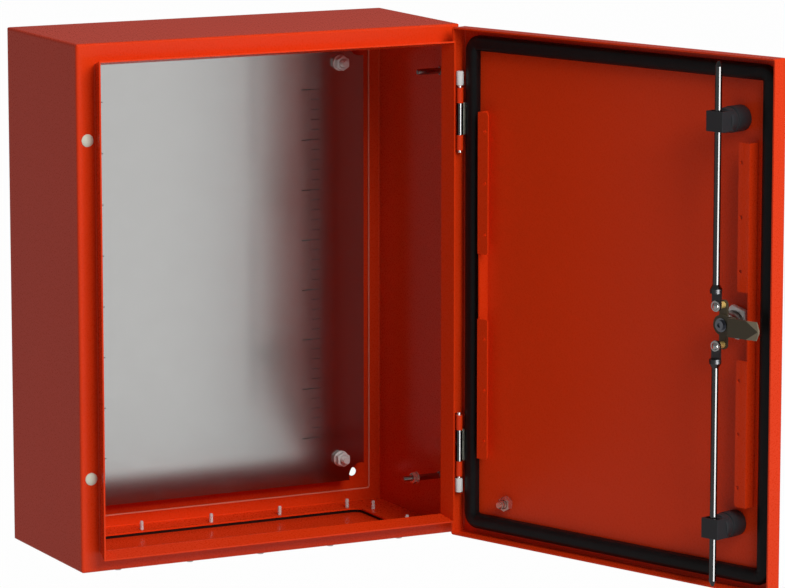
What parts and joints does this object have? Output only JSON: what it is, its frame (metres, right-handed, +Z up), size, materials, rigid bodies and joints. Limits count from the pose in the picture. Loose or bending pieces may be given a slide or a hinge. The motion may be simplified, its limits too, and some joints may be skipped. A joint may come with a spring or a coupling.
{
  "type": "electrical panel cabinet",
  "caption": "Orange-red sheet-metal wall enclosure with an open hinged door, foam seal, galvanised mounting plate, cable gland plate and a rod lock worked by a turning cam.",
  "frame": {"origin": "centre of the four wall holes, on the back plane that lies on the wall", "axes": "+X to the right seen from the front, +Y into the wall, +Z up; the door opens towards -Y"},
  "size_m": [0.5327, 0.558, 0.5076],
  "materials": {
    "paint": "fine textured powder coat",
    "galvanised": "galvanised sheet, satin",
    "zinc": "bright zinc plate",
    "rod_steel": "bright plated",
    "dark_steel": "dark olive passivated",
    "brass": "turned",
    "foam": "poured foam, matt",
    "guide_plastic": "moulded, matt",
    "white_plastic": "moulded",
    "plug_plastic": "moulded"
  },
  "bodies": {
    "cabinet": {"body_shell": "paint", "back_panel": "paint", "mounting_plate": "galvanised", "plate_studs": "zinc", "plate_spacers": "zinc", "plate_washers": "zinc", "plate_nuts": "zinc", "gland_plate": "paint", "gland_gasket": "foam", "gland_screws": "zinc", "flange_plugs": "plug_plastic", "wall_studs": "zinc", "earth_fasteners": "zinc", "upper_hinge_bracket": "paint", "lower_hinge_bracket": "paint", "hinge_screws": "zinc", "hinge_pins": "zinc", "hinge_caps": "white_plastic"},
    "door": {"door_panel": "paint", "upper_hinge_leaf": "zinc", "lower_hinge_leaf": "zinc", "door_seal": "foam", "hinge_side_rail": "paint", "lock_side_rail": "paint", "upper_rod_guide": "guide_plastic", "lower_rod_guide": "guide_plastic", "door_earth_stud": "zinc", "door_earth_nut": "zinc", "lock_housing": "zinc", "lock_nut": "zinc"},
    "lock_cam": {"lock_insert": "zinc", "rod_arm": "dark_steel", "lock_cam": "dark_steel", "cam_screw": "zinc", "pin_screws": "zinc", "pin_bushes": "brass"},
    "upper_rod": {"upper_rod": "rod_steel"},
    "lower_rod": {"lower_rod": "rod_steel"}
  },
  "joints": [
    {"name": "door_hinge", "type": "hinge", "parent": "cabinet", "child": "door", "pos_m": [0.1915, -0.187, 0], "axis": [0, 0, 1], "range_deg": [-109.5, 5]},
    {"name": "lock_turn", "type": "hinge", "parent": "door", "child": "lock_cam", "pos_m": [0.31641, -0.5008, 0.0015], "axis": [0.9426, 0.3338, 0], "range_deg": [0, 90]},
    {"name": "upper_rod_pivot", "type": "hinge", "parent": "lock_cam", "child": "upper_rod", "pos_m": [0.31641, -0.5008, 0.02], "axis": [0.9426, 0.3338, 0], "range_deg": [-97, 0]},
    {"name": "lower_rod_pivot", "type": "hinge", "parent": "lock_cam", "child": "lower_rod", "pos_m": [0.31641, -0.5008, -0.017], "axis": [0.9426, 0.3338, 0], "range_deg": [-97, 0]}
  ],
  "couplings": [
    {"joint": "upper_rod_pivot", "follows": "lock_turn", "ratio": -1.0706},
    {"joint": "lower_rod_pivot", "follows": "lock_turn", "ratio": -1.0706}
  ]
}
